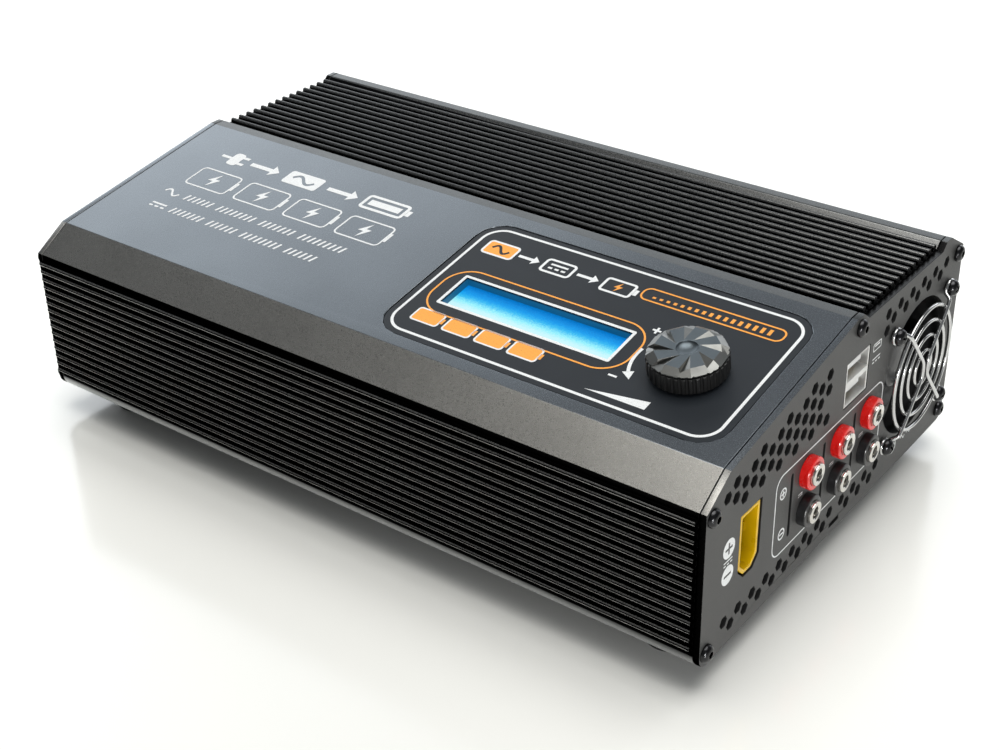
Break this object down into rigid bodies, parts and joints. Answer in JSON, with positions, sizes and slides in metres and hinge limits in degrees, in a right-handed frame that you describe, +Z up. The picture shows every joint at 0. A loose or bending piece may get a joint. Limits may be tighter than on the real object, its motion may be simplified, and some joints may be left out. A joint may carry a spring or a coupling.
{
  "type": "bench power supply",
  "caption": "Mains bench power supply with a finned aluminium case, sloping display and knob face, DC output sockets, USB sockets and a guarded fan.",
  "frame": {"origin": "under the middle of the whole object, on the surface that its feet stand on", "axes": "+X towards the output end panel with the sockets and the fan, +Y towards the ribbed back, +Z up"},
  "size_m": [0.2731, 0.1654, 0.0838],
  "materials": {
    "case_cover": "grey anodised, fine satin",
    "case_tray": "black anodised",
    "end_panel": "dark grey powder coat",
    "black_screw": "blackened steel",
    "foot_rubber": "matt",
    "fan_frame": "moulded",
    "fan_rotor": "moulded",
    "guard_wire": "bright chromed wire",
    "label": "charcoal printed film",
    "black_plastic": "moulded",
    "display_glass": "blue-lit display",
    "circuit_board": "green solder mask",
    "knob_metal": "gunmetal plated",
    "bright_steel": "bright",
    "yellow_nylon": "moulded nylon",
    "gold_contact": "gold plated",
    "red_plastic": "moulded",
    "nickel": "nickel plated",
    "usb_insulator": "white moulded",
    "switch_rocker": "gloss moulded",
    "ferrite": "ferrite",
    "copper_winding": "enamelled copper",
    "capacitor_sleeve": "blue heat-shrink sleeve",
    "heatsink": "plain extruded"
  },
  "bodies": {
    "case": {"top_cover": "case_cover", "bottom_tray": "case_tray", "output_end_panel": "end_panel", "input_end_panel": "end_panel", "output_panel_screw_1": "black_screw", "output_panel_screw_2": "black_screw", "output_panel_screw_3": "black_screw", "output_panel_screw_4": "black_screw", "output_panel_screw_5": "black_screw", "input_panel_screw_1": "black_screw", "input_panel_screw_2": "black_screw", "input_panel_screw_3": "black_screw", "input_panel_screw_4": "black_screw", "input_panel_screw_5": "black_screw", "fan_screw_1": "black_screw", "fan_screw_2": "black_screw", "fan_screw_3": "black_screw", "fan_screw_4": "black_screw", "foot_front_left": "foot_rubber", "foot_front_right": "foot_rubber", "foot_back_left": "foot_rubber", "foot_back_right": "foot_rubber", "fan_frame": "fan_frame", "fan_guard": "guard_wire", "label_plate": "label", "display_surround": "black_plastic", "ac_inlet": "black_plastic", "switch_frame": "black_plastic", "black_socket_1": "black_plastic", "black_socket_2": "black_plastic", "black_socket_3": "black_plastic", "display_glass": "display_glass", "display_board": "circuit_board", "main_board": "circuit_board", "potentiometer_body": "bright_steel", "usb_shell": "bright_steel", "dc_output_socket": "yellow_nylon", "dc_output_pin_positive": "gold_contact", "dc_output_pin_negative": "gold_contact", "red_socket_1": "red_plastic", "red_socket_2": "red_plastic", "red_socket_3": "red_plastic", "red_socket_sleeve_1": "nickel", "red_socket_sleeve_2": "nickel", "red_socket_sleeve_3": "nickel", "black_socket_sleeve_1": "nickel", "black_socket_sleeve_2": "nickel", "black_socket_sleeve_3": "nickel", "usb_insulator": "usb_insulator", "transformer_core": "ferrite", "transformer_winding": "copper_winding", "output_inductor": "copper_winding", "bulk_capacitor": "capacitor_sleeve", "primary_heatsink": "heatsink", "output_heatsink": "heatsink"},
    "knob": {"knob_grip": "black_plastic", "knob_cap": "knob_metal", "potentiometer_shaft": "bright_steel"},
    "fan_rotor": {"fan_rotor": "fan_rotor"},
    "switch_rocker": {"switch_rocker": "switch_rocker"}
  },
  "joints": [
    {"name": "knob_turn", "type": "hinge", "parent": "case", "child": "knob", "pos_m": [0.10061, -0.03974, 0.07915], "axis": [0, -0.1739, 0.9848], "range_deg": [-150, 150]},
    {"name": "fan_spin", "type": "hinge", "parent": "case", "child": "fan_rotor", "pos_m": [0.12221, 0.0505, 0.0438], "axis": [1, 0, 0], "continuous": true},
    {"name": "switch_rock", "type": "hinge", "parent": "case", "child": "switch_rocker", "pos_m": [-0.13179, -0.0099, 0.037], "axis": [0, 0, -1], "range_deg": [0, 14]}
  ]
}
